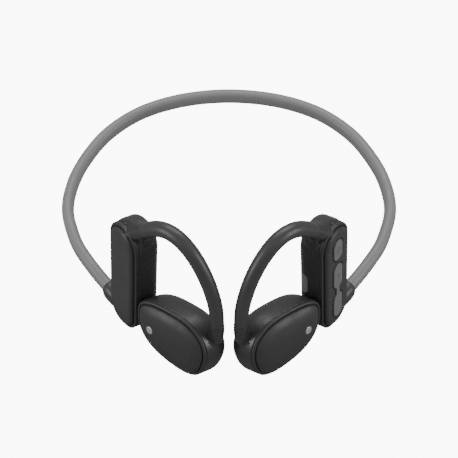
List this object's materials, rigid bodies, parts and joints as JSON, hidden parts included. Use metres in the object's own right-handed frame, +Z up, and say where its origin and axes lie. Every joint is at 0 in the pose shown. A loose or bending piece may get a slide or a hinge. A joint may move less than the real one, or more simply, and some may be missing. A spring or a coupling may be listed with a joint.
{
  "type": "bone conduction headphones",
  "caption": "Open-ear bone conduction headphones: a spring neckband, behind-ear packs with keys and a port flap, ear hooks and vibrating cheek pods.",
  "frame": {"origin": "middle of the footprint, on the plane the packs and pods stand on", "axes": "+Z up with the packs upright, +Y towards the back of the wearer's head, +X the wearer's left"},
  "size_m": [0.128, 0.1312, 0.0586],
  "materials": {
    "badge_silver": "satin",
    "battery_wrap": "foil wrap",
    "board_green": "solder mask",
    "coil_copper": "enamelled copper",
    "cover_black": "satin matte",
    "flap_grey": "matte",
    "foam_black": "open foam",
    "gasket_rubber": "matte",
    "grey_silicone": "matte",
    "key_grey": "fine matte",
    "lead_jacket": "matte",
    "magnet_nickel": "nickel plated",
    "mic_can": "gold plated can",
    "pad_rubber": "smooth matte",
    "pin_steel": "ground",
    "port_steel": "drawn shell",
    "shell_black": "fine matte",
    "soft_black": "soft-touch matte",
    "spring_steel": "rolled",
    "switch_steel": "satin",
    "tin_plate": "tin plate",
    "titanium": "drawn titanium",
    "yoke_steel": "zinc plated"
  },
  "bodies": {
    "band_back": {"neckband_leads_center": "lead_jacket", "neckband_sleeve_center": "grey_silicone", "neckband_wire_center": "titanium"},
    "right_pack": {"band_collar_right": "soft_black", "neckband_leads_right": "lead_jacket", "neckband_sleeve_right": "grey_silicone", "neckband_wire_right": "titanium", "pack_cover_right": "cover_black", "pack_gasket_right": "gasket_rubber", "pack_housing_right": "shell_black", "battery_cell": "battery_wrap", "battery_foam_pad": "foam_black", "battery_protection_board": "board_green"},
    "right_hook": {"ear_hook_sleeve_right": "soft_black", "ear_hook_wire_right": "titanium", "pod_badge_right": "badge_silver", "pod_contact_pad_right": "pad_rubber", "pod_cover_right": "cover_black", "pod_housing_right": "shell_black", "spring_plate_right": "spring_steel", "transducer_magnet_right": "magnet_nickel", "transducer_yoke_right": "yoke_steel", "voice_coil_right": "coil_copper"},
    "left_pack": {"band_collar_left": "soft_black", "neckband_leads_left": "lead_jacket", "neckband_sleeve_left": "grey_silicone", "neckband_wire_left": "titanium", "pack_cover_left": "cover_black", "pack_gasket_left": "gasket_rubber", "pack_housing_left": "shell_black", "main_board": "board_green", "power_switch": "switch_steel", "rf_shield": "tin_plate", "rocker_pin": "pin_steel", "usb_c_receptacle": "port_steel", "volume_down_switch": "switch_steel", "volume_up_switch": "switch_steel"},
    "left_hook": {"ear_hook_sleeve_left": "soft_black", "ear_hook_wire_left": "titanium", "pod_badge_left": "badge_silver", "pod_contact_pad_left": "pad_rubber", "pod_cover_left": "cover_black", "pod_housing_left": "shell_black", "spring_plate_left": "spring_steel", "transducer_magnet_left": "magnet_nickel", "transducer_yoke_left": "yoke_steel", "voice_coil_left": "coil_copper", "microphone": "mic_can"},
    "power_key": {"power_button": "key_grey"},
    "volume_key": {"volume_rocker": "key_grey"},
    "flap": {"port_flap": "flap_grey"}
  },
  "joints": [
    {"name": "right_arm_flex", "type": "hinge", "parent": "band_back", "child": "right_pack", "pos_m": [-0.01441, 0.06426, 0.02627], "axis": [0, 0.225, -0.9744], "range_deg": [0, 24], "stiffness_Nm_per_rad": 0.3},
    {"name": "left_arm_flex", "type": "hinge", "parent": "band_back", "child": "left_pack", "pos_m": [0.01441, 0.06426, 0.02627], "axis": [0, -0.225, 0.9744], "range_deg": [0, 24], "stiffness_Nm_per_rad": 0.3},
    {"name": "right_hook_flex", "type": "hinge", "parent": "right_pack", "child": "right_hook", "pos_m": [-0.02809, -0.04015, 0.04999], "axis": [0.6009, -0.4866, 0.6341], "range_deg": [-10, 3], "stiffness_Nm_per_rad": 0.35},
    {"name": "left_hook_flex", "type": "hinge", "parent": "left_pack", "child": "left_hook", "pos_m": [0.02809, -0.04015, 0.04999], "axis": [0.6009, 0.4866, -0.6341], "range_deg": [-10, 3], "stiffness_Nm_per_rad": 0.35},
    {"name": "power_press", "type": "slide", "parent": "left_pack", "child": "power_key", "axis": [-0.8078, 0.5878, -0.0452], "range_m": [0, 0.0003], "stiffness_N_per_m": 900},
    {"name": "volume_rock", "type": "hinge", "parent": "left_pack", "child": "volume_key", "pos_m": [0.03544, -0.03599, 0.01873], "axis": [-0.5869, -0.809, -0.0328], "range_deg": [-1.6, 1.6], "stiffness_Nm_per_rad": 0.15},
    {"name": "port_flap_swing", "type": "hinge", "parent": "left_pack", "child": "flap", "pos_m": [0.02639, -0.03454, 0.02349], "axis": [0.0558, 0, -0.9984], "range_deg": [0, 95]}
  ]
}
